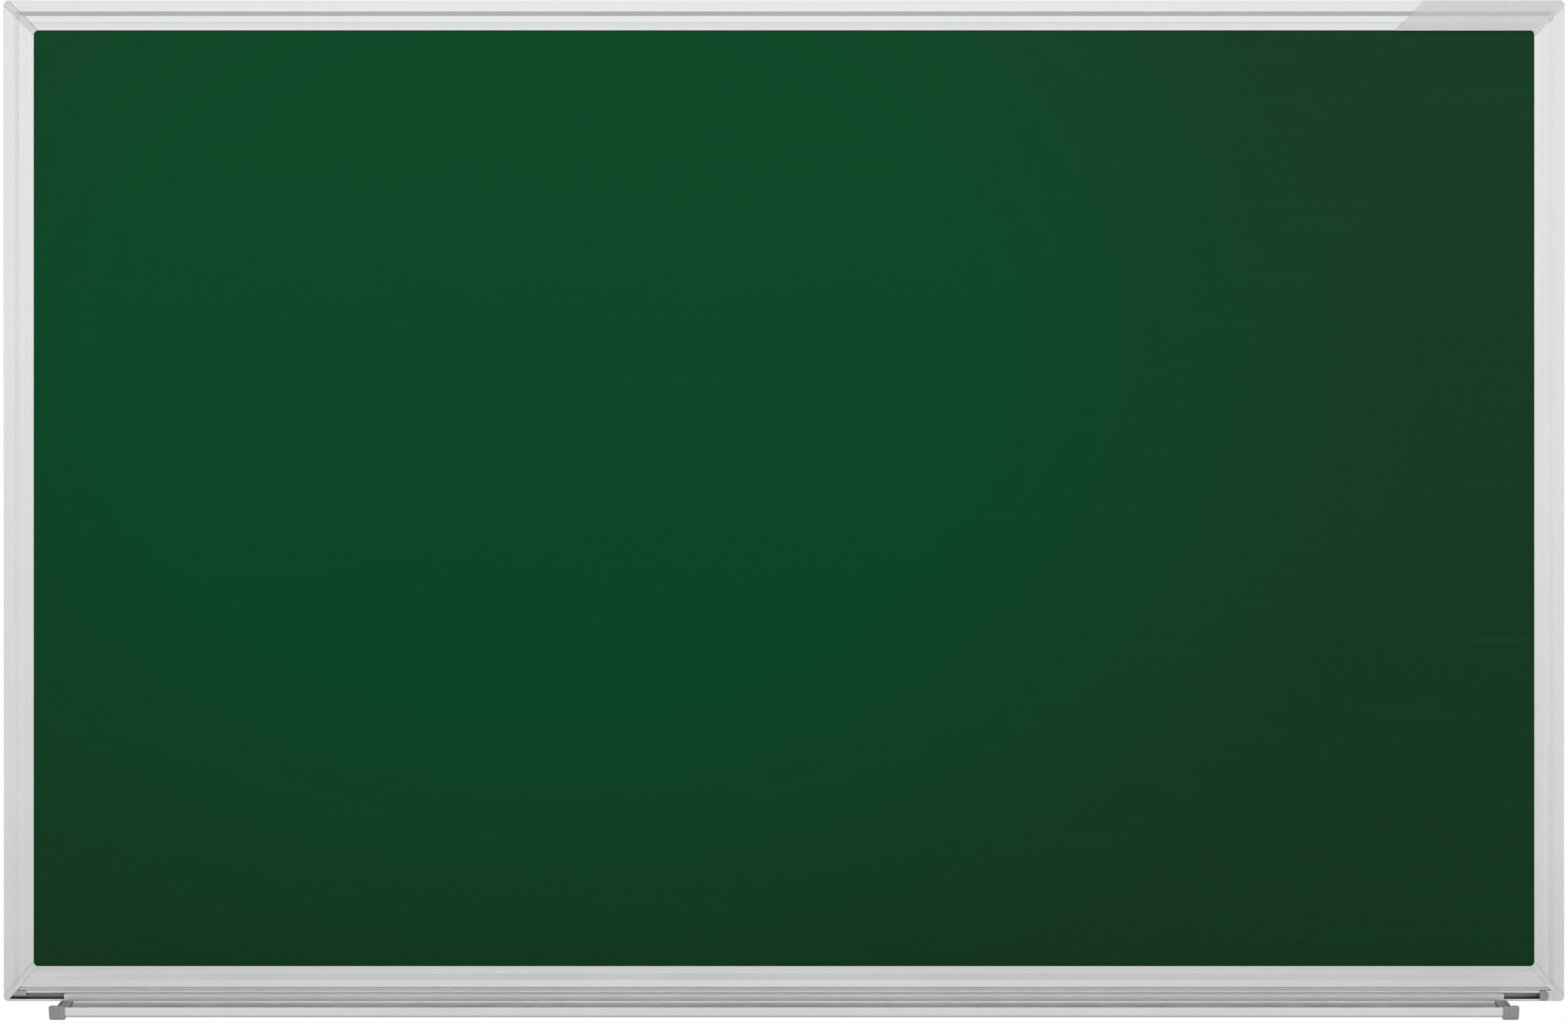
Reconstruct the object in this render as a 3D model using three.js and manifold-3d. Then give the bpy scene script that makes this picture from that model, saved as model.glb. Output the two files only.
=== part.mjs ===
// A framed chalkboard for the wall. A steel-faced panel is held in a mitred aluminium frame, plastic corner
// pieces show as a fin along each mitre, and a chalk tray slides in a channel of the bottom profile.
// Millimetres, +Z up. The front faces -Y and the wall is the plane Y = 0. The origin lies on the wall plane,
// in the middle of the top profile's wall flange.
import * as THREE from "three";
import { mergeVertices } from "three/addons/utils/BufferGeometryUtils.js";
import Module from "manifold-3d";

// Whole board
const frameWidth = 1500;
const frameHeight = 962;
const frameDepth = 22; // wall to the outer flat
const clearance = 0.3; // between pieces that touch
const jointGap = 0.15; // between a corner piece's fin and the profiles
const overlap = 0.2; // how far joined solids run into each other

// Profile shared by the top and the sides, from its outer edge inwards
const profileWidth = 28.3;
const outerFlat = 10.6;
const stepRun = 4.2;
const stepDrop = 2.5;
const bevelRun = 7.3;
const bevelDrop = 2; // inner flat to the lip, with the ledge
const ledge = 0.4; // small step down between the inner flat and the bevel
const lipEdge = 0.7;
const profileWall = 1.4;
const outerRadius = 1;
const edgeRadius = 0.35;

// Back of every profile: wall flange, slot for the wall brackets, rear rib, then the panel's rebate
const flangeThickness = 1.6;
const flangeSetback = 2.3;
const bracketSlot = 1.8;
const ribThickness = 1.3;
const rebateReach = 8.3;

// Bottom profile, from its outer edge inwards
const bottomWidth = 33.2;
const frontLip = 2.2;
const slotOpening = 5;
const beadWidth = 3.2;
const beadRise = 0.3;
const beadUnderRadius = 1.5;
const grooveWidth = 3;
const grooveDepth = 2.2;
const grooveRadius = 1;
const bottomStepRun = 6.8;
const bottomBevelRun = 6.2;
const channelFloor = 1.4;
const channelRise = 1.8; // channel above the slot opening
const channelDepth = 7.5;
const channelWall = 1.6; // front lip and bead, front to back
const chamberWall = 1; // between the groove side and the hollow

// Corner pieces
const finWidth = 6.2;
const outerCornerRadius = 5;
const innerCornerRadius = 4.3;
const legReach = 62; // from the frame's outer corner
const legRadius = 1;
const pocketLength = 10;
const pocketWidth = 11;
const pocketDepth = 7;
const pocketSpacing = 21;

// Corner screws
const screwReach = 44; // from the frame's outer corner
const screwLength = 9;
const screwRadius = 1.7;
const screwHeadRadius = 3.4;
const screwHeadRim = 0.3;
const screwHeadDepth = 1.9; // rim and cone
const recessWidth = 0.9;
const recessLength = 3.8;
const recessDepth = 1.3;

// Blank cover over the top right corner
const coverLength = 133.8;
const coverReach = 5.2; // past the mitre, down the side
const coverThickness = 0.8;

// Ends of the tray channel
const plugReach = 24; // from the frame's outer side to the plug's inner end
const plugLength = 8.1;
const fillerReach = 22.3;
const fillerRise = 5.1; // lower edge of the filler

// Panel
const sheetThickness = 0.8;
const backingThickness = 0.6;
const panelCornerRadius = 2;

// Chalk tray
const trayTravel = 34; // each way, along the channel
const trayStop = 0.5; // left at the end of the travel, before the tray meets the plug
const trayWall = 1.4;
const trayHangerTop = 5.9; // above the frame's bottom edge
const trayTongue = 1.5;
const trayFoot = 1.1; // below the frame's bottom edge, where the floor leaves the hanger
const trayBendRadius = 1.6;
const trayEdgeRadius = 0.65;
const trayDepth = 49.7; // back of the hanger to the front of the lip
const trayHeight = 10; // top of the lip to the underside

// Tray end caps
const capLap = 9; // over the end of the tray
const capWall = 1.8;
const capBulge = 4.2; // front block past the end wall
const capSkin = 1.5; // tongue inside the trough
const capSleeve = 1.6; // in front of and under the tray
const capRoof = 1.1;
const capBlock = 7.9; // front block, front to back
const capSwellFrom = 22; // where the end wall starts to swell, behind the front
const capSwellTo = 14;
const capCrest = 0.7; // top of the end wall, above the frame's bottom edge
const capCrestRadius = 120;
const capShelf = 5.5; // where the end wall's top meets the front block
const capLean = 1; // of the front block's outer side
const capEdgeRadius = 1.2;
const capFrontRadius = 2.4;
const capCornerRadius = 3;
const capSwellRadius = 10;

// Wall brackets
const bracketWidth = 40;
const bracketThickness = 1.2;
const bracketPlate = 26;
const bracketInset = 150; // from the frame's outer side to the middle of a bracket
const bracketHoleRadius = 2.6;
const bracketCornerRadius = 4;

// Segments in a curve
const barSegments = 4;
const trimSegments = 6;
const cornerSegments = 8;
const screwSides = 16;
const holeSides = 20;

// Worked out from the sizes above
const innerFace = frameDepth - stepDrop;
const lipFace = innerFace - bevelDrop;
const lipBack = lipFace - lipEdge;
const ribFace = flangeThickness + bracketSlot + ribThickness;
const slotTop = frontLip + slotOpening;
const beadTop = slotTop + beadWidth;
const grooveTop = beadTop + grooveWidth;
const channelTop = slotTop + channelRise;
const channelFace = frameDepth - channelWall;
const channelBack = channelFace - channelDepth;
const trayLength = frameWidth - 2 * (plugReach + trayTravel + trayStop);
const grooveFace = frameDepth - grooveDepth;
const topEdge = (profileWidth - flangeSetback) / 2;
const bottomEdge = topEdge - frameHeight;
const X = new THREE.Vector3(1, 0, 0);
const UP = new THREE.Vector3(0, 0, 1);
const DOWN = new THREE.Vector3(0, 0, -1);
const FORWARD = new THREE.Vector3(0, -1, 0);
const BACK = new THREE.Vector3(0, 1, 0);

const wasm = await Module();
wasm.setup();

function material(color, roughness, metalness) {
  return new THREE.MeshStandardMaterial({ color, roughness, metalness });
}
const anodised = () => material(0xd8d8da, 0.45, 0.9);
const greenEnamel = () => material(0x14402a, 0.75, 0);
const finPlastic = () => material(0xc9c9ca, 0.6, 0);
const greyPlastic = () => material(0x8f9396, 0.6, 0);
const steel = () => material(0xb0b2b5, 0.4, 0.9);
const chipboard = () => material(0xa8875c, 0.9, 0);

// Turns a closed geometry into a solid that can be cut and joined.
function solid(geometry) {
  const bare = geometry.clone();
  bare.deleteAttribute("normal");
  bare.deleteAttribute("uv");
  const merged = mergeVertices(bare, 1e-4);
  const vertProperties = merged.attributes.position.array;
  const triVerts = new Uint32Array(merged.index.array);
  return new wasm.Manifold(new wasm.Mesh({ numProp: 3, vertProperties, triVerts }));
}

function geometryOf(manifold) {
  const { vertProperties, triVerts } = manifold.getMesh();
  const indexed = new THREE.BufferGeometry()
    .setAttribute("position", new THREE.BufferAttribute(vertProperties, 3))
    .setIndex(new THREE.BufferAttribute(triVerts, 1));
  const faceted = indexed.toNonIndexed();
  faceted.computeVertexNormals();
  return faceted;
}

function piece(name, geometry, finish) {
  const mesh = new THREE.Mesh(geometry, finish);
  mesh.name = name;
  return mesh;
}

// Draws corners [x, y, radius] one after the other. A corner that has a radius becomes a curve whose handles
// have the length that follows an arc.
function trace(path, corners) {
  corners.forEach(([x, y, radius = 0], i) => {
    const corner = new THREE.Vector2(x, y);
    const [back, ahead] = [-1, 1].map((step) => {
      const [nextX, nextY] = corners[(i + step + corners.length) % corners.length];
      return new THREE.Vector2(nextX, nextY).sub(corner).normalize();
    });
    const turn = Math.PI - Math.acos(THREE.MathUtils.clamp(back.dot(ahead), -1, 1));
    const reach = radius * Math.tan(turn / 2);
    const handle = reach - (4 / 3) * Math.tan(turn / 4) * radius;
    const on = (way, distance) => corner.clone().addScaledVector(way, distance);
    const start = on(back, reach);
    if (i === 0) path.moveTo(start.x, start.y);
    else path.lineTo(start.x, start.y);
    if (radius > 0) {
      const [a, b, end] = [on(back, handle), on(ahead, handle), on(ahead, reach)];
      path.bezierCurveTo(a.x, a.y, b.x, b.y, end.x, end.y);
    }
  });
  path.closePath();
  return path;
}

const shapeOf = (corners) => trace(new THREE.Shape(), corners);

// Moves a line of corners sideways: to its left for a positive distance.
function offset(corners, distance) {
  const points = corners.map(([x, y]) => new THREE.Vector2(x, y));
  const ways = points.slice(1).map((point, i) => point.clone().sub(points[i]).normalize());
  return corners.map(([, , radius = 0], i) => {
    const before = ways[Math.max(i - 1, 0)];
    const after = ways[Math.min(i, ways.length - 1)];
    const left = new THREE.Vector2(-before.y - after.y, before.x + after.x);
    const moved = points[i].clone().addScaledVector(left, distance / (1 + before.dot(after)));
    const side = Math.sign(before.cross(after));
    return [moved.x, moved.y, radius > 0 ? Math.max(radius - side * distance, 0) : 0];
  });
}

// The outline of a strip of even thickness along a line of corners.
function strip(corners, thickness, endRadius = 0) {
  const soften = (line) =>
    line.map(([x, y, radius], i) => [x, y, i === 0 || i === line.length - 1 ? endRadius : radius]);
  const left = soften(offset(corners, thickness / 2));
  const right = soften(offset(corners, -thickness / 2));
  return [...left.reverse(), ...right];
}

// Extrudes a shape from an origin, square to its two axes.
function prism(shape, across, along, depth, origin, curveSegments = trimSegments) {
  const geometry = new THREE.ExtrudeGeometry(shape, { depth, bevelEnabled: false, curveSegments });
  const out = new THREE.Vector3().crossVectors(across, along);
  const place = new THREE.Matrix4().makeBasis(across, along, out).setPosition(origin);
  return geometry.applyMatrix4(place);
}

// Extrudes a profile section along X. The section's first axis runs in from the frame's outer edge and
// its second axis runs forward from the wall. An end lies at `at` on the outer edge and slants by `slope`.
function bar(shape, left, right) {
  const options = { depth: 1, bevelEnabled: false, curveSegments: barSegments };
  const geometry = new THREE.ExtrudeGeometry(shape, options);
  const points = geometry.attributes.position;
  for (let i = 0; i < points.count; i += 1) {
    const [depth, forward] = [points.getX(i), points.getY(i)];
    const end = points.getZ(i) > 0.5 ? left : right;
    points.setXYZ(i, end.at + end.slope * depth, -forward, -depth);
  }
  return geometry;
}

// How far in the underside of a sloping wall is at a height. Its face starts at `start` and `top` and falls.
function underSlope(start, top, run, drop, height) {
  const wall = profileWall * Math.hypot(1, drop / run);
  return start + ((top - wall - height) * run) / drop;
}

// The two profile sections. Corners run round the outside from the wall flange's outer edge.
function profileBack(width, run) {
  const web = width - rebateReach;
  const flangeEdge = width - flangeSetback;
  const slotFace = flangeThickness + bracketSlot;
  const roof = innerFace - profileWall;
  const underBevel = (height) => underSlope(width - run, innerFace, run, bevelDrop, height);
  return [
    [0, 0, edgeRadius],
    [flangeEdge, 0, edgeRadius],
    [flangeEdge, flangeThickness],
    [web, flangeThickness],
    [web, slotFace],
    [flangeEdge, slotFace],
    [flangeEdge, ribFace],
    [web, ribFace],
    [web, roof],
    [underBevel(roof), roof],
    [underBevel(lipBack), lipBack],
    [width, lipBack],
    [width, lipFace, edgeRadius / 2],
    [width - run + ledge, innerFace - ledge],
    [width - run, innerFace, edgeRadius],
  ];
}

const sideFront = [
  [outerFlat + stepRun, innerFace, edgeRadius],
  [outerFlat, frameDepth, edgeRadius],
  [0, frameDepth, outerRadius],
];

const bottomFront = [
  [grooveTop + bottomStepRun, innerFace, edgeRadius],
  [grooveTop, frameDepth, edgeRadius],
  [grooveTop, grooveFace, grooveRadius],
  [beadTop, grooveFace, grooveRadius],
  [beadTop, frameDepth + beadRise, outerRadius],
  [slotTop, frameDepth + beadRise, beadUnderRadius],
  [slotTop, channelFace],
  [channelTop, channelFace],
  [channelTop, channelBack],
  [channelFloor, channelBack],
  [channelFloor, channelFace],
  [frontLip, channelFace],
  [frontLip, frameDepth, edgeRadius],
  [0, frameDepth, edgeRadius],
];

const underStep = (start, run, height) => underSlope(start, frameDepth, run, stepDrop, height);
const chamberRoof = innerFace - profileWall;
const sideChamber = [
  [flangeThickness, flangeThickness],
  [profileWidth - rebateReach - profileWall, flangeThickness],
  [profileWidth - rebateReach - profileWall, chamberRoof],
  [underStep(outerFlat, stepRun, chamberRoof), chamberRoof],
  [underStep(outerFlat, stepRun, frameDepth - profileWall), frameDepth - profileWall],
  [flangeThickness, frameDepth - profileWall],
];
const grooveRoof = grooveFace - profileWall;
const bottomChamber = [
  [flangeThickness, flangeThickness],
  [bottomWidth - rebateReach - profileWall, flangeThickness],
  [bottomWidth - rebateReach - profileWall, chamberRoof],
  [underStep(grooveTop, bottomStepRun, chamberRoof), chamberRoof],
  [underStep(grooveTop, bottomStepRun, grooveRoof), grooveRoof],
  [beadTop + chamberWall, grooveRoof],
  [beadTop + chamberWall, channelBack - profileWall],
  [flangeThickness, channelBack - profileWall],
];

function legSection(width, roof) {
  const low = flangeThickness + clearance;
  const inner = width - rebateReach - profileWall - clearance;
  const high = roof - clearance;
  return [[low, low], [inner, low], [inner, high], [low, high]].map((corner) => [...corner, legRadius]);
}

// The four sides, clockwise from the top as seen from the front. Each is built as if it were the top one,
// then turned, so its right end meets the next side and its left end meets the one before.
const narrow = {
  width: profileWidth,
  section: [...profileBack(profileWidth, bevelRun), ...sideFront],
  chamber: sideChamber,
  leg: legSection(profileWidth, chamberRoof),
};
const wide = {
  width: bottomWidth,
  section: [...profileBack(bottomWidth, bottomBevelRun), ...bottomFront],
  chamber: bottomChamber,
  leg: legSection(bottomWidth, channelBack - profileWall),
};
const sides = [
  { name: "top", corner: "top_right", profile: narrow, length: frameWidth, reach: frameHeight / 2 },
  { name: "right", corner: "bottom_right", profile: narrow, length: frameHeight, reach: frameWidth / 2 },
  { name: "bottom", corner: "bottom_left", profile: wide, length: frameWidth, reach: frameHeight / 2 },
  { name: "left", corner: "top_left", profile: narrow, length: frameHeight, reach: frameWidth / 2 },
];
const turnOf = (i) => (i * Math.PI) / 2;
const sideAfter = (i) => sides[(i + 1) % sides.length];
const sideBefore = (i) => sides[(i + sides.length - 1) % sides.length];

// How far a mitre runs along a side for each millimetre in from the outer edge.
const mitre = (own, other) => other.width / own.width;
const alongMitre = (slope, distance) => distance * Math.hypot(1, slope);

// A square corner less a quarter circle: it rounds the frame's outer corners and fills its inner ones.
function cornerWeb(radius, depth, from) {
  const web = new THREE.Shape();
  web.moveTo(-overlap, -overlap);
  web.lineTo(radius, -overlap);
  web.lineTo(radius, 0);
  web.absarc(radius, radius, radius, -Math.PI / 2, -Math.PI, true);
  web.lineTo(-overlap, radius);
  web.closePath();
  const left = X.clone().negate();
  return prism(web, left, DOWN, depth, new THREE.Vector3(0, -from, 0), cornerSegments);
}

const cornerCutter = () => cornerWeb(outerCornerRadius, frameDepth * 2, -frameDepth / 2);

// The outside of a countersunk screw that points forward from the wall, or with room added, its hole.
function screwForm(room, start) {
  const radius = screwRadius + room;
  const head = screwHeadRadius + room;
  const end = screwLength + room;
  const profile = [
    [0, start],
    [head, start],
    [head, screwHeadRim + clearance],
    [radius, screwHeadDepth + clearance],
    [radius, end - radius],
    [0, end],
  ].map(([r, forward]) => new THREE.Vector2(r, forward));
  return new THREE.LatheGeometry(profile, screwSides).rotateX(Math.PI);
}

const screwHole = () => screwForm(clearance, -overlap);

// The head lies just under the wall plane and has a cross recess.
function screwBody() {
  const deep = 2 * (recessDepth + clearance);
  const across = new THREE.BoxGeometry(recessLength, deep, recessWidth);
  const upright = new THREE.BoxGeometry(recessWidth, deep, recessLength);
  return solid(screwForm(0, clearance)).subtract(solid(across)).subtract(solid(upright));
}

const screwPlace = (profile, sign) => [
  sign * screwReach,
  0,
  -(profile.width - rebateReach - profileWall + flangeThickness) / 2,
];

// Frame profiles
const board = new THREE.Group();
board.position.z = topEdge - frameHeight / 2;

function channelEnd(fromRight, toRight, low, high) {
  const corners = [[low, channelBack], [high, channelBack], [high, frameDepth * 2], [low, frameDepth * 2]];
  const right = { at: toRight, slope: 0 };
  return solid(bar(shapeOf(corners), { at: fromRight, slope: 0 }, right));
}

sides.forEach((side, i) => {
  const { profile, length } = side;
  const half = length / 2;
  const shape = shapeOf(profile.section);
  shape.holes.push(trace(new THREE.Path(), profile.chamber));
  const rightSlope = mitre(profile, sideAfter(i).profile);
  const leftSlope = mitre(profile, sideBefore(i).profile);
  const joint = finWidth / 2 + jointGap;
  const left = { at: alongMitre(leftSlope, joint) - half, slope: leftSlope };
  const right = { at: half - alongMitre(rightSlope, joint), slope: -rightSlope };
  let body = solid(bar(shape, left, right))
    .subtract(solid(cornerCutter().translate(half, 0, 0)))
    .subtract(solid(cornerCutter().rotateY(-Math.PI / 2).translate(-half, 0, 0)));
  for (const sign of [-1, 1]) {
    const hole = screwHole().translate(...screwPlace(profile, sign));
    body = body.subtract(solid(hole.translate(-sign * half, 0, 0)));
  }
  if (profile === wide) {
    body = body
      .subtract(channelEnd(-half - overlap, plugReach - half, -overlap, beadTop))
      .subtract(channelEnd(half - fillerReach, half + overlap, fillerRise, beadTop));
  }
  const mesh = piece(`frame_${side.name}`, geometryOf(body), anodised());
  mesh.position.z = side.reach;
  const turned = new THREE.Group();
  turned.rotation.y = turnOf(i);
  turned.add(mesh);
  board.add(turned);
});

// Corner pieces: a fin that follows both profiles along the mitre, with a leg into each hollow. Each is
// built for the top right corner, whose outer corner is the origin, and turned to its own.
function finSection(profile) {
  const stretch = profile.width / narrow.width;
  return shapeOf(narrow.section.map(([depth, forward, radius]) => [depth * stretch, forward, radius]));
}

function legWith(profile, sign, left, right) {
  let leg = solid(bar(shapeOf(profile.leg), left, right));
  const [screwX, , screwZ] = screwPlace(profile, -sign);
  const low = flangeThickness + clearance;
  for (const step of [-1, 1]) {
    const centre = screwX + (step * pocketSpacing) / 2;
    const pocket = new THREE.BoxGeometry(pocketLength, pocketDepth * 2, pocketWidth);
    leg = leg.subtract(solid(pocket.translate(centre, -low, screwZ)));
  }
  return leg.subtract(solid(screwHole().translate(screwX, 0, screwZ)));
}

function onNextSide(geometry) {
  return geometry.rotateY(Math.PI / 2);
}

const turnSolid = (manifold) => solid(onNextSide(geometryOf(manifold)));

// The plug that closes the right end of the tray channel, with its round end towards the corner.
function plugBody(room) {
  const [low, high] = [clearance - room, beadTop - clearance + room];
  const radius = (high - low) / 2 - overlap;
  const outer = plugReach - clearance + room;
  const inner = plugReach - clearance - plugLength - room;
  const round = [[inner, low, radius], [inner, high, radius]];
  const corners = [...round, [outer, high, edgeRadius], [outer, low, edgeRadius]];
  const front = frameDepth + beadRise + room;
  const back = channelBack + clearance - room;
  return prism(shapeOf(corners), X, DOWN, front - back, new THREE.Vector3(0, -front, 0), cornerSegments);
}

sides.forEach((side, i) => {
  const a = side.profile;
  const b = sideAfter(i).profile;
  const slopeA = mitre(a, b);
  const slopeB = mitre(b, a);
  const edgeA = { at: -alongMitre(slopeA, finWidth / 2), slope: -slopeA };
  const edgeB = { at: alongMitre(slopeB, finWidth / 2), slope: slopeB };
  const middleA = { at: overlap, slope: -slopeA };
  const middleB = { at: -overlap, slope: slopeB };
  const finA = solid(bar(finSection(a), edgeA, middleA));
  const finB = solid(onNextSide(bar(finSection(b), middleB, edgeB)));
  const filletRadius = Math.min(innerCornerRadius, -edgeA.at, edgeB.at);
  const fillet = cornerWeb(filletRadius, lipEdge, lipBack).translate(-b.width, 0, -a.width);
  const legA = legWith(a, 1, { at: -legReach, slope: 0 }, { at: 0, slope: -slopeA });
  const legB = turnSolid(legWith(b, -1, { at: 0, slope: slopeB }, { at: legReach, slope: 0 }));
  let body = finA.add(finB).add(solid(fillet)).subtract(solid(cornerCutter())).add(legA).add(legB);
  if (b === wide) {
    const low = channelBack + clearance;
    const high = beadTop - clearance;
    const corners = [[0, low], [high, low], [high, frameDepth, edgeRadius], [0, frameDepth, edgeRadius]];
    const end = { at: plugReach - clearance - plugLength / 2, slope: 0 };
    const start = { at: edgeB.at - overlap, slope: slopeB };
    const filler = solid(bar(shapeOf(corners), start, end)).subtract(solid(plugBody(clearance)));
    body = body.add(turnSolid(filler));
  }
  const corner = new THREE.Group();
  corner.position.set(side.length / 2, 0, side.reach);
  corner.add(piece(`corner_${side.corner}`, geometryOf(body), finPlastic()));
  [[a, -1, 0], [b, 1, Math.PI / 2]].forEach(([profile, sign, turn], n) => {
    const screw = piece(`corner_screw_${side.corner}_${n + 1}`, geometryOf(screwBody()), steel());
    screw.position.set(...screwPlace(profile, sign));
    const arm = new THREE.Group();
    arm.rotation.y = turn;
    arm.add(screw);
    corner.add(arm);
  });
  const turned = new THREE.Group();
  turned.rotation.y = turnOf(i);
  turned.add(corner);
  board.add(turned);
});

// Cover over the top right corner: a thin shell on the front of both profiles, past the far side of the fin.
function coverBody() {
  const line = [[0, frameDepth], [outerFlat, frameDepth], [outerFlat + stepRun, innerFace]];
  line.push([profileWidth - bevelRun, innerFace], [profileWidth, lipFace]);
  const raised = offset(line, clearance + coverThickness / 2);
  const section = shapeOf(strip(raised, coverThickness));
  const along = solid(bar(section, { at: -coverLength, slope: -1 }, { at: overlap, slope: -1 }));
  const down = solid(onNextSide(bar(section, { at: -overlap, slope: 1 }, { at: coverReach, slope: 1 })));
  return along.add(down).subtract(solid(cornerCutter()));
}
const cover = piece("corner_cover", geometryOf(coverBody()), finPlastic());
cover.position.set(frameWidth / 2, 0, frameHeight / 2);
board.add(cover);

// Ends of the tray channel
const channel = new THREE.Group();
channel.rotation.y = Math.PI;
channel.position.z = -frameHeight / 2;
const plug = piece("channel_plug_right", plugBody(0), greyPlastic());
plug.position.x = -frameWidth / 2;
const fillerSlope = mitre(wide, narrow);
const fillerSection = shapeOf([
  [fillerRise + clearance, channelBack + clearance],
  [beadTop - clearance, channelBack + clearance],
  [beadTop - clearance, frameDepth],
  [fillerRise + clearance, frameDepth],
]);
const fillerEnd = { at: -alongMitre(fillerSlope, finWidth / 2 + jointGap), slope: -fillerSlope };
const fillerStart = { at: clearance - fillerReach, slope: 0 };
const filler = piece("channel_filler_left", bar(fillerSection, fillerStart, fillerEnd), greyPlastic());
filler.position.x = frameWidth / 2;
channel.add(plug, filler);
board.add(channel);

// Panel: three layers that share one outline and fill the rebate between the rear rib and the front lip
const panelWidth = frameWidth - 2 * (profileWidth - rebateReach + clearance);
const panelTop = frameHeight / 2 - (profileWidth - rebateReach + clearance);
const panelBottom = bottomWidth - rebateReach + clearance - frameHeight / 2;
const panelOutline = shapeOf([
  [-panelWidth / 2, panelBottom, panelCornerRadius],
  [panelWidth / 2, panelBottom, panelCornerRadius],
  [panelWidth / 2, panelTop, panelCornerRadius],
  [-panelWidth / 2, panelTop, panelCornerRadius],
]);
const backingBack = ribFace + clearance;
const coreBack = backingBack + backingThickness + clearance;
const sheetBack = lipBack - clearance - sheetThickness;
const layers = [
  ["backing_sheet", backingBack, backingThickness, steel()],
  ["panel_core", coreBack, sheetBack - clearance - coreBack, chipboard()],
  ["writing_sheet", sheetBack, sheetThickness, greenEnamel()],
];
for (const [name, back, thickness, finish] of layers) {
  const origin = new THREE.Vector3(0, -back, 0);
  board.add(piece(name, prism(panelOutline, X, UP, thickness, origin), finish));
}

// Wall brackets: a plate on the wall with a tongue, set forward, that reaches into the profile's slot
function bracketBody() {
  const plateMiddle = bracketThickness / 2;
  const tongueMiddle = flangeThickness + bracketSlot / 2;
  const jog = tongueMiddle - plateMiddle;
  const line = [
    [clearance - rebateReach, tongueMiddle],
    [clearance - flangeSetback + jog, tongueMiddle, bracketThickness],
    [clearance - flangeSetback + jog * 2, plateMiddle, bracketThickness],
    [bracketPlate, plateMiddle],
  ];
  const side = { at: bracketWidth / 2, slope: 0 };
  const plate = solid(bar(shapeOf(strip(line, bracketThickness)), { at: -bracketWidth / 2, slope: 0 }, side));
  const [top, low, half] = [rebateReach, -bracketPlate, bracketWidth / 2];
  const plan = shapeOf([
    [-half, low, bracketCornerRadius],
    [half, low, bracketCornerRadius],
    [half, top],
    [-half, top],
  ]);
  const hole = new THREE.CylinderGeometry(bracketHoleRadius, bracketHoleRadius, frameDepth, holeSides);
  return plate
    .intersect(solid(prism(plan, X, UP, frameDepth, new THREE.Vector3(0, overlap, 0))))
    .subtract(solid(hole.translate(0, 0, -bracketPlate / 2)));
}
const bracketGeometry = geometryOf(bracketBody());
for (const [row, profile, turn] of [["upper", narrow, 0], ["lower", wide, Math.PI]]) {
  for (const [hand, sign] of [["left", -1], ["right", 1]]) {
    const bracket = piece(`wall_bracket_${row}_${hand}`, bracketGeometry, steel());
    const up = row === "upper" ? 1 : -1;
    bracket.position.set(sign * (frameWidth / 2 - bracketInset), 0, up * (frameHeight / 2 - profile.width));
    bracket.rotation.y = turn;
    board.add(bracket);
  }
}

// Chalk tray. Its section lies in the plane of forward and up, from the frame's bottom edge at the wall.
const hangerMiddle = frameDepth + clearance + trayWall / 2;
const lipMiddle = frameDepth + clearance + trayDepth - trayWall / 2;
const floorMiddle = trayWall / 2 - trayHeight;

// The middle line of the tray's sheet, from the top of the hanger to the top of the lip.
function troughLine(hangerTop, lipTop) {
  return [
    [hangerMiddle, hangerTop],
    [hangerMiddle, -trayFoot, trayBendRadius],
    [lipMiddle, floorMiddle, trayBendRadius],
    [lipMiddle, lipTop],
  ];
}

function alongTray(corners, from, to) {
  return prism(shapeOf(corners), FORWARD, UP, to - from, new THREE.Vector3(to, 0, 0));
}

// The hook is a T on its side: a stem under the front bead and a leg that stands in the channel.
function trayBody() {
  const half = trayLength / 2;
  const legBack = channelFace - clearance - trayWall;
  const legFace = channelFace - clearance;
  const stemBottom = trayHangerTop - trayTongue;
  const hook = [
    [legBack, channelFloor + clearance],
    [legFace, channelFloor + clearance],
    [legFace, stemBottom],
    [hangerMiddle, stemBottom],
    [hangerMiddle, trayHangerTop],
    [legFace, trayHangerTop],
    [legFace, channelTop - clearance],
    [legBack, channelTop - clearance],
  ];
  const shell = strip(troughLine(trayHangerTop, 0), trayWall, trayEdgeRadius);
  return solid(alongTray(shell, -half, half)).add(solid(alongTray(hook, -half, half)));
}

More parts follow.
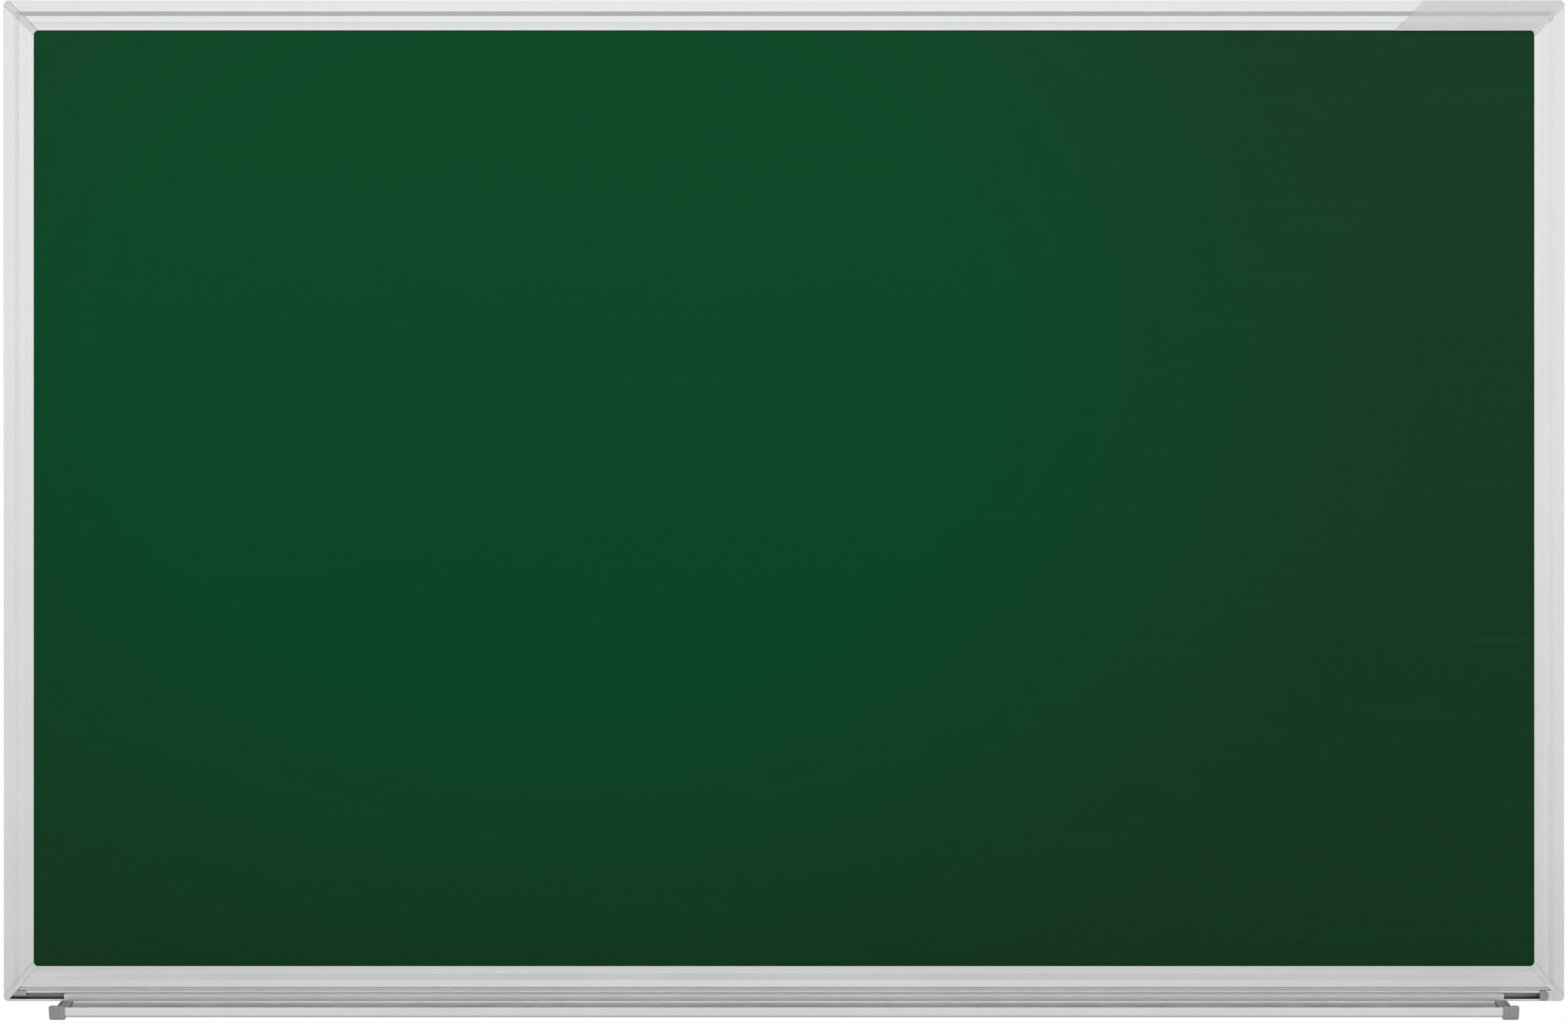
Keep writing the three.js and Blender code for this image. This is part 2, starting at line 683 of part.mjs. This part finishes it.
// End cap for the right end of the tray, whose end face is at the origin. It is what its outlines from above,
// from the side and from the front have in common, less the room for the end of the tray.
function capBody() {
  const [, heel, toe] = offset(troughLine(0, 0), -(trayWall / 2 + clearance + capSleeve));
  const [back, front] = [heel[0], toe[0]];
  const wallOut = clearance + capWall;
  const blockOut = wallOut + capBulge;
  const blockBack = front - capBlock;
  const crestBack = frameDepth + beadRise + clearance;
  const plan = [
    [-capLap, -back],
    [wallOut, -back, capEdgeRadius],
    [wallOut, capSwellFrom - front, capSwellRadius],
    [blockOut, capSwellTo - front, capSwellRadius],
    [blockOut, -front, capFrontRadius],
    [-capLap, -front, capEdgeRadius],
  ];
  const outline = [
    [crestBack, -2 * clearance],
    [back, -2 * clearance, edgeRadius],
    [back, heel[1], edgeRadius],
    [front, toe[1], capFrontRadius],
    [front, capRoof, capEdgeRadius],
    [blockBack, capRoof, capEdgeRadius],
    [blockBack, -capShelf, capEdgeRadius],
    [(crestBack + blockBack) / 2, capCrest, capCrestRadius],
    [crestBack, capCrest, edgeRadius],
  ];
  const face = [
    [-capLap, toe[1], edgeRadius],
    [blockOut - capLean, toe[1], capCornerRadius],
    [blockOut, capRoof, capEdgeRadius],
    [-capLap, capRoof],
  ];
  const low = new THREE.Vector3(0, 0, toe[1] - overlap);
  const height = capRoof - toe[1] + 2 * overlap;
  const slot = strip(troughLine(trayHangerTop + clearance, clearance), trayWall + 2 * clearance);
  const inside = offset(troughLine(trayHeight, trayHeight), trayWall / 2 + clearance + capSkin);
  return solid(prism(shapeOf(plan), X, BACK, height, low))
    .intersect(solid(alongTray(outline, -capLap, blockOut)))
    .intersect(solid(prism(shapeOf(face), X, UP, front + overlap, new THREE.Vector3())))
    .subtract(solid(alongTray(slot, -capLap - overlap, clearance)))
    .subtract(solid(alongTray(inside, -capLap - overlap, clearance)));
}

const tray = new THREE.Group();
tray.position.z = bottomEdge;
tray.add(piece("chalk_tray", geometryOf(trayBody()), anodised()));
const capGeometry = geometryOf(capBody());
for (const [hand, sign] of [["left", -1], ["right", 1]]) {
  const cap = piece(`tray_cap_${hand}`, capGeometry, greyPlastic());
  cap.position.x = (sign * trayLength) / 2;
  cap.scale.x = sign;
  tray.add(cap);
}

const chalkboard = new THREE.Group();
chalkboard.add(board, tray);
export default chalkboard;
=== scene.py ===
from math import radians

import bmesh
import bpy
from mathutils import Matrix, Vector


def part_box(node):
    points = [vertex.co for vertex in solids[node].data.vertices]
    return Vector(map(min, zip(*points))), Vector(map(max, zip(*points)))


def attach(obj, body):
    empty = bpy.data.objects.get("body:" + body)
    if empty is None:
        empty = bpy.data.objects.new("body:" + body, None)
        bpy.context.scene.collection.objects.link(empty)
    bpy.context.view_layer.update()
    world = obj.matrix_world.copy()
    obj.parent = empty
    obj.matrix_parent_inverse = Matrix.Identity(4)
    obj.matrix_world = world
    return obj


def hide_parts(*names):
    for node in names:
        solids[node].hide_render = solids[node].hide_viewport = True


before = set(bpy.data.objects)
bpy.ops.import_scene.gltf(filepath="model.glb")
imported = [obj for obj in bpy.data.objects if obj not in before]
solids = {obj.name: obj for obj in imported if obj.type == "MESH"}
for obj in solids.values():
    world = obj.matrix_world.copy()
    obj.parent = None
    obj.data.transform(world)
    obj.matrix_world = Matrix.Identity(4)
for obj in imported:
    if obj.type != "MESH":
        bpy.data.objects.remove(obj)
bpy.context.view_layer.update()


# WRITING SHEET: matt green vitreous enamel on thin steel, gripped by the frame on all four sides. The
# enamel is sprayed and fired, so its colour drifts softly and its face has a fine orange peel. Dusters
# leave faint rubbing marks in it. A painted pool of light makes the green brightest a little left of and
# above the middle, and painted shade darkens it towards the sides and the bottom.

def new_finish(name, colour, roughness, metallic=0.0, specular=0.5):
    """A new material, with its node tree and its shader."""
    finish = bpy.data.materials.new(name)
    finish.use_nodes = True
    shader = finish.node_tree.nodes["Principled BSDF"]
    shader.inputs["Base Color"].default_value = (*colour, 1)
    shader.inputs["Roughness"].default_value = roughness
    shader.inputs["Metallic"].default_value = metallic
    shader.inputs["Specular IOR Level"].default_value = specular
    return finish, finish.node_tree, shader


def speckle(tree, size, stretch=(1, 1, 1), turn=(0, 0, 0), detail=2.0, distortion=0.0):
    """Soft noise whose spots are about `size` metres across, drawn out where stretch is under 1."""
    place = tree.nodes.new("ShaderNodeTexCoord")
    mapping = tree.nodes.new("ShaderNodeMapping")
    noise = tree.nodes.new("ShaderNodeTexNoise")
    mapping.inputs["Rotation"].default_value = turn
    mapping.inputs["Scale"].default_value = stretch
    noise.inputs["Scale"].default_value = 1 / size
    noise.inputs["Detail"].default_value = detail
    noise.inputs["Distortion"].default_value = distortion
    tree.links.new(place.outputs["Object"], mapping.inputs["Vector"])
    tree.links.new(mapping.outputs["Vector"], noise.inputs["Vector"])
    return noise.outputs["Fac"]


def spread(tree, value, low, high, to_low=0.0, to_high=1.0):
    """Maps the span low..high of a pattern on to to_low..to_high and holds it there."""
    node = tree.nodes.new("ShaderNodeMapRange")
    tree.links.new(value, node.inputs["Value"])
    node.inputs["From Min"].default_value = low
    node.inputs["From Max"].default_value = high
    node.inputs["To Min"].default_value = to_low
    node.inputs["To Max"].default_value = to_high
    return node.outputs["Result"]


def tint(tree, value, first, second):
    """A colour between two, by a pattern. Each end is a colour or another node's colour."""
    mix = tree.nodes.new("ShaderNodeMix")
    mix.data_type = "RGBA"
    tree.links.new(value, mix.inputs["Factor"])
    for socket, colour in ((mix.inputs[6], first), (mix.inputs[7], second)):
        if isinstance(colour, bpy.types.NodeSocket):
            tree.links.new(colour, socket)
        else:
            socket.default_value = (*colour, 1)
    return mix.outputs[2]


def relief(tree, shader, height, depth, strength=1.0):
    """Adds a bump of that depth in metres on top of those that the shader already has."""
    bump = tree.nodes.new("ShaderNodeBump")
    bump.inputs["Distance"].default_value = depth
    bump.inputs["Strength"].default_value = strength
    tree.links.new(height, bump.inputs["Height"])
    for link in shader.inputs["Normal"].links:
        tree.links.new(link.from_socket, bump.inputs["Normal"])
    tree.links.new(bump.outputs["Normal"], shader.inputs["Normal"])


def paint(node, finish):
    """Gives its material to a solid that stays as the CAD made it."""
    mesh = solids[node].data
    mesh.materials.clear()
    mesh.materials.append(finish)


# The green is painted lighter in the middle and darker towards the edges: painted light and painted shade.
lit_green, lit_richest_green = (0.0031, 0.0705, 0.0215), (0.0022, 0.0785, 0.0230)
shaded_green = (0.0093, 0.0526, 0.0198)
mottled_coat = (0.004, 0.080, 0.030)
rubbed_coat = (0.012, 0.090, 0.038)
chalk_speck = (0.10, 0.18, 0.13)
light_pool_middle = (-0.231, 0, -0.35)  # middle of the painted pool of light, where the green is brightest
light_pool_reach = (1.003, 1, 0.776)  # from there to where the painted shade is darkest, to the side and up
drift_size, mottle_size, stroke_size, peel_size = 0.30, 0.006, 0.014, 0.0016
stroke_shape, stroke_slant = (0.10, 1, 1.3), (0, radians(28), 0)
peel_depth = 0.00003

enamel, tree, shader = new_finish("green_enamel", (0.001, 0.07, 0.022), 0.62, specular=0.05)
place = tree.nodes.new("ShaderNodeTexCoord")
centred = tree.nodes.new("ShaderNodeMapping")
centred.vector_type = "TEXTURE"
centred.inputs["Location"].default_value = light_pool_middle
centred.inputs["Scale"].default_value = light_pool_reach
tree.links.new(place.outputs["Object"], centred.inputs["Vector"])
# the painted pool of light: 1 in its middle, falling off to painted shade at the edges
light_falloff = tree.nodes.new("ShaderNodeTexGradient")
light_falloff.gradient_type = "SPHERICAL"
tree.links.new(centred.outputs["Vector"], light_falloff.inputs["Vector"])
drift = spread(tree, speckle(tree, drift_size, distortion=0.6), 0.30, 0.70, 0.92, 1.0)
green = tint(tree, spread(tree, light_falloff.outputs["Fac"], 0.157, 0.580), shaded_green,
             tint(tree, drift, lit_green, lit_richest_green))
mottle = spread(tree, speckle(tree, mottle_size, detail=4.0), 0.35, 0.65, 0.0, 0.10)
green = tint(tree, mottle, green, mottled_coat)
strokes = speckle(tree, stroke_size, stroke_shape, stroke_slant, detail=4.0, distortion=0.4)
rubbed = spread(tree, strokes, 0.58, 0.80)
green = tint(tree, spread(tree, rubbed, 0, 1, 0, 0.18), green, rubbed_coat)
specks = spread(tree, speckle(tree, peel_size, detail=1.0), 0.80, 0.84, 0.0, 0.25)
green = tint(tree, specks, green, chalk_speck)
tree.links.new(green, shader.inputs["Base Color"])
tree.links.new(spread(tree, rubbed, 0, 1, 0.64, 0.58), shader.inputs["Roughness"])
relief(tree, shader, speckle(tree, peel_size, detail=3.0), peel_depth, 0.5)
paint("writing_sheet", enamel)


# CORE AND BACKING SHEET: pressed wood chips between the writing sheet and a thin galvanised sheet, which
# balances the panel and shows at the back with its zinc spangle.

chip_size, chip_shape, chip_depth = 0.003, (1, 2.5, 1), 0.0003
spangle_size = 0.011
wave_size, wave_shape, wave_depth = 0.05, (1, 1, 0.2), 0.0004

chips, tree, shader = new_finish("chipboard", (0.42, 0.29, 0.16), 0.9, specular=0.2)
flakes = speckle(tree, chip_size, chip_shape, detail=5.0, distortion=1.5)
tree.links.new(tint(tree, spread(tree, flakes, 0.3, 0.7), (0.30, 0.19, 0.09), (0.55, 0.41, 0.25)),
               shader.inputs["Base Color"])
relief(tree, shader, flakes, chip_depth, 0.6)
paint("panel_core", chips)

zinc_sheet, tree, shader = new_finish("galvanised_steel", (0.55, 0.56, 0.57), 0.42, 0.9)
place = tree.nodes.new("ShaderNodeTexCoord")
spangle = tree.nodes.new("ShaderNodeTexVoronoi")
spangle.inputs["Scale"].default_value = 1 / spangle_size
tree.links.new(place.outputs["Object"], spangle.inputs["Vector"])
crystal = tree.nodes.new("ShaderNodeSeparateColor")
tree.links.new(spangle.outputs["Color"], crystal.inputs["Color"])
tree.links.new(tint(tree, crystal.outputs["Red"], (0.47, 0.48, 0.50), (0.63, 0.64, 0.65)),
               shader.inputs["Base Color"])
tree.links.new(spread(tree, crystal.outputs["Green"], 0, 1, 0.34, 0.54), shader.inputs["Roughness"])
relief(tree, shader, speckle(tree, wave_size, wave_shape), wave_depth, 0.3)
paint("backing_sheet", zinc_sheet)


# FRAME PROFILES: hollow aluminium extrusions, cut to a mitre and anodised in satin silver. The die leaves
# fine lines along each bar. Rounded edges are a little lighter, partly from rubbing and partly as a
# painted highlight. Painted shade darkens the bottom bar's tray channel, most near its floor, and a little
# its groove.

frame_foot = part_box("frame_bottom")[0][2]


def dressed(node, body, finish, soften=0.0, sharp=32, cut_ends=0.0, shade_boxes=()):
    """A merged copy of a solid that stands for it, with smooth light over its rounded edges. sharp is the
    turn in degrees past which an edge is crisp. soften rounds all crisp edges, and cut_ends those of the
    mitres. shade_boxes holds boxes of forward and height, in metres from the wall and from the frame's
    lower edge, and how much painted shade the faces in them get."""
    merge_within = 2e-6
    flat_within = radians(0.4)
    mitre_lean, mitre_area = 0.3, 5e-5  # what tells the mitres from the small faces beside them
    edge_width = 0.00045  # faces narrower than this belong to a rounded edge
    shape = bmesh.new()
    shape.from_mesh(solids[node].data)
    bmesh.ops.remove_doubles(shape, verts=shape.verts, dist=merge_within)
    bmesh.ops.dissolve_limit(shape, angle_limit=flat_within, verts=shape.verts, edges=shape.edges)
    crisp = [e for e in shape.edges if e.is_manifold and e.calc_face_angle() > radians(sharp)]
    if soften:
        bmesh.ops.bevel(shape, geom=crisp, offset=soften, offset_type="OFFSET", segments=2,
                        profile=0.5, affect="EDGES", material=-1, clamp_overlap=True)
    if cut_ends:
        ends = [e for e in crisp if e.is_convex and any(
            min(abs(f.normal.x), abs(f.normal.z)) > mitre_lean and f.calc_area() > mitre_area
            for f in e.link_faces)]
        bmesh.ops.bevel(shape, geom=ends, offset=cut_ends, offset_type="OFFSET", segments=2,
                        profile=0.5, affect="EDGES", material=-1, clamp_overlap=False)
    edge = shape.faces.layers.float.new("edge")
    painted_shade = shape.faces.layers.float.new("painted_shade")
    for face in shape.faces:
        face.smooth = True
        face[edge] = float(2 * face.calc_area() / face.calc_perimeter() < edge_width)
        middle = face.calc_center_median()
        forward, height = -middle.y, middle.z - frame_foot
        for back, front, low, high, level in shade_boxes:
            if back < forward < front and low < height < high:
                face[painted_shade] = level
    for line in shape.edges:
        line.smooth = line.is_manifold and line.calc_face_angle() < radians(sharp)
    mesh = bpy.data.meshes.new(node + "_finished")
    shape.to_mesh(mesh)
    shape.free()
    mesh.materials.append(finish)
    piece = bpy.data.objects.new(node + "_finished", mesh)
    bpy.context.collection.objects.link(piece)
    even = piece.modifiers.new("even_light", "WEIGHTED_NORMAL")
    even.keep_sharp = True
    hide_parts(node)
    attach(piece, body)
    return piece


def arithmetic(tree, operation, *values):
    """What a Math node makes of numbers and of other nodes' values."""
    node = tree.nodes.new("ShaderNodeMath")
    node.operation = operation
    for socket, value in zip(node.inputs, values):
        if isinstance(value, bpy.types.NodeSocket):
            tree.links.new(value, socket)
        else:
            socket.default_value = value
    return node.outputs["Value"]


def face_value(tree, name):
    """The value that dressed has given to each face under that name."""
    attribute = tree.nodes.new("ShaderNodeAttribute")
    attribute.attribute_name = name
    return attribute.outputs["Fac"]


def along(tree, axis, kind="Object"):
    """The place along one axis: in metres on the object, or as a direction in the surround."""
    place = tree.nodes.new("ShaderNodeTexCoord")
    axes = tree.nodes.new("ShaderNodeSeparateXYZ")
    tree.links.new(place.outputs[kind], axes.inputs["Vector"])
    return axes.outputs[axis]


def edge_wear_and_highlight(tree):
    """1 on the narrow faces of the rounded edges, broken up as wear is, and 0 elsewhere. The lighter
    colour it brings is partly wear and partly painted highlight.
    """
    wear_size = 0.006
    broken = spread(tree, speckle(tree, wear_size, detail=4.0), 0.42, 0.60)
    return arithmetic(tree, "MULTIPLY", face_value(tree, "edge"), broken)


def anodised(name, lengthwise, lightness=0.84):
    """Satin aluminium with die lines along the bar, darkened by painted shade where dressed has marked it.
    lengthwise scales each axis of the line pattern."""
    def silver(step):
        """The metal's own tone, made that much lighter, with a touch of blue."""
        return (lightness + step, lightness + step, lightness + step + 0.005)

    # painted shade in the hollows: darkest low down, lighter higher up
    deepest_painted_shade, lighter_painted_shade = (0.05, 0.05, 0.055), (0.34, 0.34, 0.35)
    deepest_shade_height, lighter_shade_height = 0.0012, 0.0060  # above the frame's lower edge, where each painted shade is purest
    line_size, band_size, cloud_size, patch_size, etch_size = 0.0009, 0.006, 0.12, 0.03, 0.0004
    line_depth, etch_depth = 0.000008, 0.000003
    finish, tree, shader = new_finish(name, [lightness] * 3, 0.5, 1.0)
    lines = speckle(tree, line_size, lengthwise, detail=3.0)
    bands = speckle(tree, band_size, lengthwise, detail=2.0)
    tone = tint(tree, spread(tree, lines, 0.3, 0.7), silver(-0.025), silver(0.015))
    tone = tint(tree, spread(tree, bands, 0.35, 0.65, 0.0, 0.5), tone, silver(-0.01))
    # rounded edges lighter: partly wear, partly painted highlight
    tone = tint(tree, edge_wear_and_highlight(tree), tone, [lightness + 0.04] * 3)
    # painted shade, broken up a little, where dressed has marked the faces, darker towards the bottom
    patches = spread(tree, speckle(tree, patch_size, detail=3.0), 0.3, 0.7, 0.75, 1.0)
    shade_amount = arithmetic(tree, "MULTIPLY", face_value(tree, "painted_shade"), patches)
    shade_fade = spread(tree, along(tree, "Z"), frame_foot + deepest_shade_height, frame_foot + lighter_shade_height)
    tone = tint(tree, shade_amount, tone, tint(tree, shade_fade, deepest_painted_shade, lighter_painted_shade))
    tree.links.new(tone, shader.inputs["Base Color"])
    tree.links.new(spread(tree, speckle(tree, cloud_size), 0.3, 0.7, 0.44, 0.48),
                   shader.inputs["Roughness"])
    relief(tree, shader, lines, line_depth, 0.4)
    relief(tree, shader, speckle(tree, etch_size, detail=1.0), etch_depth, 0.4)
    return finish


mitre_edge = 0.00022
drawn = 0.004  # stretch of the die lines along their bar
# from the wall to back and front, from the frame's lower edge to low and high, and how dark the painted
# shade is
tray_channel = (0.0126, 0.0218, 0.0013, 0.0091, 1.0)
groove = (0.0150, 0.0219, 0.01045, 0.01335, 0.25)
along_x = anodised("anodised_across", (drawn, 1, 1))
along_z = anodised("anodised_upright", (1, 1, drawn))
for side, finish, hollows in (("top", along_x, ()), ("bottom", along_x, (tray_channel, groove)),
                              ("left", along_z, ()), ("right", along_z, ())):
    dressed("frame_" + side, "board", finish, cut_ends=mitre_edge, shade_boxes=hollows)


# CORNER PIECES: light grey moulded plastic; the lower two are painted paler, as painted light. A fin shows
# along each mitre, and a leg runs into each profile, where a countersunk zinc-plated screw from the back
# holds it.

def moulded(name, colour, deep, light, grain=0.0007, flake=0.0):
    """Matt moulded plastic: a spark-eroded grain, a slight drift of colour and lighter edges, partly
    rubbed and partly painted highlight. flake is how much silver pigment it holds."""
    drift_size, flake_size, pit_depth = 0.008, 0.0011, 0.00003
    finish, tree, shader = new_finish(name, colour, 0.55, flake, specular=0.4)
    drift = spread(tree, speckle(tree, drift_size, detail=4.0), 0.3, 0.7)
    tone = tint(tree, drift, deep, light)
    if flake:
        pigment = spread(tree, speckle(tree, flake_size, detail=2.0), 0.42, 0.66, 0, 0.5)
        tone = tint(tree, pigment, tone, deep)
    # rounded edges lighter: partly rubbing, partly painted highlight
    rubbed = [min(1.0, c * 1.15) for c in light]
    tree.links.new(tint(tree, spread(tree, edge_wear_and_highlight(tree), 0, 1, 0, 0.6), tone, rubbed),
                   shader.inputs["Base Color"])
    pits = speckle(tree, grain, detail=2.0)
    tree.links.new(spread(tree, pits, 0.3, 0.7, 0.50, 0.62), shader.inputs["Roughness"])
    relief(tree, shader, pits, pit_depth, 0.4)
    return finish


fin_grey = moulded("corner_plastic", (0.73, 0.73, 0.73), (0.69, 0.69, 0.69), (0.77, 0.77, 0.77),
                   flake=0.35)
lit_fin_grey = moulded("corner_plastic_painted_light", (0.87, 0.87, 0.87), (0.84, 0.84, 0.84), (0.91, 0.91, 0.91),
                    flake=0.45)
screw_edge = 0.00012
zinc_cloud, zinc_dull, zinc_grain, grain_depth = 0.004, 0.0015, 0.0008, 0.00002
plated, tree, shader = new_finish("zinc_plate", (0.66, 0.67, 0.68), 0.3, 1.0)
tree.links.new(tint(tree, spread(tree, speckle(tree, zinc_cloud, detail=4.0), 0.3, 0.7),
                    (0.58, 0.60, 0.62), (0.74, 0.74, 0.72)), shader.inputs["Base Color"])
tree.links.new(spread(tree, speckle(tree, zinc_dull, detail=3.0), 0.3, 0.7, 0.22, 0.42),
               shader.inputs["Roughness"])
relief(tree, shader, speckle(tree, zinc_grain, detail=2.0), grain_depth, 0.4)
for corner in ("top_left", "top_right", "bottom_right", "bottom_left"):
    # the lower pieces get a paler copy of the same plastic: painted light
    grey = lit_fin_grey if "bottom" in corner else fin_grey
    dressed("corner_" + corner, "board", grey, cut_ends=mitre_edge)
    for number in ("1", "2"):
        dressed(f"corner_screw_{corner}_{number}", "board", plated, screw_edge)


# CORNER COVER: a thin blank plate of pale grey plastic, glued over the top right corner. It follows the
# steps of both profiles.

cover_edge = 0.00018
step_turn = 12  # degrees past which the light breaks, as the cover's steps turn by 20
cover_grey = moulded("cover_plastic", (0.73, 0.72, 0.725), (0.71, 0.70, 0.705), (0.75, 0.74, 0.745),
                     grain=0.0005, flake=0.35)
dressed("corner_cover", "board", cover_grey, cover_edge, sharp=step_turn)


# CHANNEL PLUG AND FILLER: mid grey plastic pieces pressed into the ends of the channel that holds the
# tray. The plug goes in last, because the tray slides in from that end.

filler_edge = 0.0001
plug_grey = moulded("plug_plastic", (0.41, 0.41, 0.41), (0.38, 0.38, 0.38), (0.44, 0.44, 0.44))
filler_grey = moulded("filler_plastic", (0.50, 0.50, 0.51), (0.46, 0.46, 0.47), (0.54, 0.54, 0.55),
                      flake=0.2)
dressed("channel_plug_right", "board", plug_grey)
dressed("channel_filler_left", "board", filler_grey, filler_edge)


# CHALK TRAY: one aluminium extrusion, anodised as the frame is but painted lighter to stand in for light,
# with painted shade in its trough and a touch on its lip. Its hook hangs in the channel. A moulded cap is
# pushed over each end, with a low ridge near its rim for the fingers, along which a lighter line is a
# painted highlight.

# from the wall to back and front, from the frame's lower edge to low and high, and how dark the painted
# shade is
trough = (0.0245, 0.0700, -0.0100, 0.0005, 0.46)
lip = (0.0704, 0.0730, -0.0300, 0.0050, 0.04)
# lightness 0.94, above the frame's 0.84, is painted light on the same anodised metal
tray_finish = anodised("anodised_tray", (drawn, 1, 1), lightness=0.94)
dressed("chalk_tray", "tray", tray_finish, shade_boxes=(trough, lip))

cap_edge = 0.0003
rim_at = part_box("tray_cap_right")[0][0] + 0.0025  # the ridge's middle, out from the board's middle
rim_half = 0.0005
rim_rise = 0.0003
rim_highlight_half = 0.7 * rim_half  # half of the painted highlight along it
skin = 0.0015  # how deep the cap's front and underside count as its outside
cap_grey = moulded("cap_plastic", (0.365, 0.373, 0.383), (0.34, 0.35, 0.36), (0.39, 0.398, 0.41))
tree = cap_grey.node_tree
colour = tree.nodes["Principled BSDF"].inputs["Base Color"]
# a lighter line along the ridge: a painted highlight
from_middle = arithmetic(tree, "ABSOLUTE", along(tree, "X"))
rim_highlight = arithmetic(tree, "COMPARE", from_middle, rim_at, rim_highlight_half)
tree.links.new(tint(tree, spread(tree, rim_highlight, 0, 1, 0, 0.7), colour.links[0].from_socket,
                    (0.56, 0.57, 0.58)), colour)
for hand, outward in (("left", -1), ("right", 1)):
    cap = dressed("tray_cap_" + hand, "tray", cap_grey, cap_edge)
    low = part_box("tray_cap_" + hand)[0]
    shape = bmesh.new()
    shape.from_mesh(cap.data)
    for at in (rim_at - rim_half, rim_at, rim_at + rim_half):
        bmesh.ops.bisect_plane(shape, geom=shape.verts[:] + shape.edges[:] + shape.faces[:], dist=1e-7,
                               plane_co=(outward * at, 0, 0), plane_no=(1, 0, 0))
    shape.normal_update()
    for point in shape.verts:
        outside = point.co.y < low[1] + skin or point.co.z < low[2] + skin
        if outside and abs(abs(point.co.x) - rim_at) < 1e-6:
            point.co += point.normal * rim_rise
    shape.to_mesh(cap.data)
    shape.free()


# WALL BRACKETS: bent zinc-plated sheet, screwed to the wall. Their tongues reach into the slot behind the
# top and bottom profiles.

bracket_edge = 0.0001
for row in ("upper", "lower"):
    for hand in ("left", "right"):
        dressed(f"wall_bracket_{row}_{hand}", "board", plated, bracket_edge)


# STUDIO: a pale floor below the hanging board, soft lights above, in front, at both sides and behind, and
# a surround that looks white and lights the board in bands of height. The camera stands straight in front.

floor_level, floor_radius = -1.85, 6.0
floor_glow = 0.30  # for the camera alone, so that the floor looks nearly as white as the surround
floor_cloud = 0.4
floor_finish, tree, shader = new_finish("pale_floor", (0.86, 0.86, 0.86), 0.8, specular=0.2)
tree.links.new(tint(tree, spread(tree, speckle(tree, floor_cloud, detail=3.0), 0.3, 0.7),
                    (0.85, 0.85, 0.85), (0.87, 0.87, 0.87)), shader.inputs["Base Color"])
shader.inputs["Emission Color"].default_value = (1, 1, 1, 1)
ray = tree.nodes.new("ShaderNodeLightPath")
tree.links.new(spread(tree, ray.outputs["Is Camera Ray"], 0, 1, 0, floor_glow),
               shader.inputs["Emission Strength"])
shape = bmesh.new()
bmesh.ops.create_circle(shape, cap_ends=True, segments=96, radius=floor_radius)
bmesh.ops.translate(shape, verts=shape.verts, vec=(0, 0, floor_level))
mesh = bpy.data.meshes.new("studio_floor")
shape.to_mesh(mesh)
shape.free()
mesh.materials.append(floor_finish)
floor = bpy.data.objects.new("studio_floor", mesh)
bpy.context.collection.objects.link(floor)

lit_point = Vector((0, 0, -0.45))
for name, where, size, power in (
        ("above", (0.0, -2.6, 2.4), (3.4, 1.4), 28.5),
        ("key", (0.0, -3.2, 1.3), (3.4, 1.4), 3.5),
        ("front", (0.0, -5.5, 0.9), (4.5, 1.8), 17.0),
        ("left", (-3.2, -2.6, 0.7), (1.6, 1.4), 10.0),
        ("right", (3.2, -2.6, 0.7), (1.6, 1.4), 6.0),
        ("right_low", (3.2, -2.6, -0.9), (1.6, 1.4), 2.4),
        ("rear", (0.0, 4.5, 1.2), (3.0, 2.0), 30)):
    lamp = bpy.data.lights.new(name, "AREA")
    lamp.shape = "RECTANGLE"
    lamp.size, lamp.size_y = size
    lamp.energy = power
    light = bpy.data.objects.new(name, lamp)
    light.location = where
    light.rotation_euler = (lit_point - Vector(where)).to_track_quat("-Z", "Y").to_euler()
    light.visible_camera = False
    bpy.context.collection.objects.link(light)

cast_strength = 2.015
surround = bpy.data.worlds.new("surround")
bpy.context.scene.world = surround
surround.use_nodes = True
tree = surround.node_tree
seen = tree.nodes["Background"]
seen.inputs["Color"].default_value = (1, 1, 1, 1)
seen.inputs["Strength"].default_value = 1.0
ramp = tree.nodes.new("ShaderNodeValToRGB")
tree.links.new(spread(tree, along(tree, "Z", "Generated"), -1, 1), ramp.inputs["Fac"])
ramp.color_ramp.elements.remove(ramp.color_ramp.elements[1])
# from straight down at 0 to straight up at 1, and how bright the surround is there
for at, level in ((0.0, 0.02), (0.29, 0.02), (0.35, 1.0), (0.49, 1.0), (0.51, 0.0), (0.66, 0.0),
                  (0.69, 0.106), (0.87, 0.106), (0.90, 0.244)):
    stop = ramp.color_ramp.elements.new(at)
    stop.color = (level, level, level, 1)
ramp.color_ramp.elements.remove(ramp.color_ramp.elements[0])
cast = tree.nodes.new("ShaderNodeBackground")
tree.links.new(ramp.outputs["Color"], cast.inputs["Color"])
cast.inputs["Strength"].default_value = cast_strength
ray = tree.nodes.new("ShaderNodeLightPath")
either = tree.nodes.new("ShaderNodeMixShader")
tree.links.new(ray.outputs["Is Camera Ray"], either.inputs["Fac"])
tree.links.new(cast.outputs["Background"], either.inputs[1])
tree.links.new(seen.outputs["Background"], either.inputs[2])
tree.links.new(either.outputs["Shader"], tree.nodes["World Output"].inputs["Surface"])
bpy.context.scene.view_settings.view_transform = "Standard"

stand_off, seen_width = 4.0, 1.5066  # from the frame's front face, and what fits across the picture there
frame_front = 0.022
eye_height = -0.4788
lens = bpy.data.cameras.new("camera")
lens.sensor_width = 36
lens.lens = lens.sensor_width * stand_off / seen_width
camera = bpy.data.objects.new("camera", lens)
camera.location = (0, -(stand_off + frame_front), eye_height)
camera.rotation_euler = (radians(90), 0, 0)
bpy.context.collection.objects.link(camera)
bpy.context.scene.camera = camera
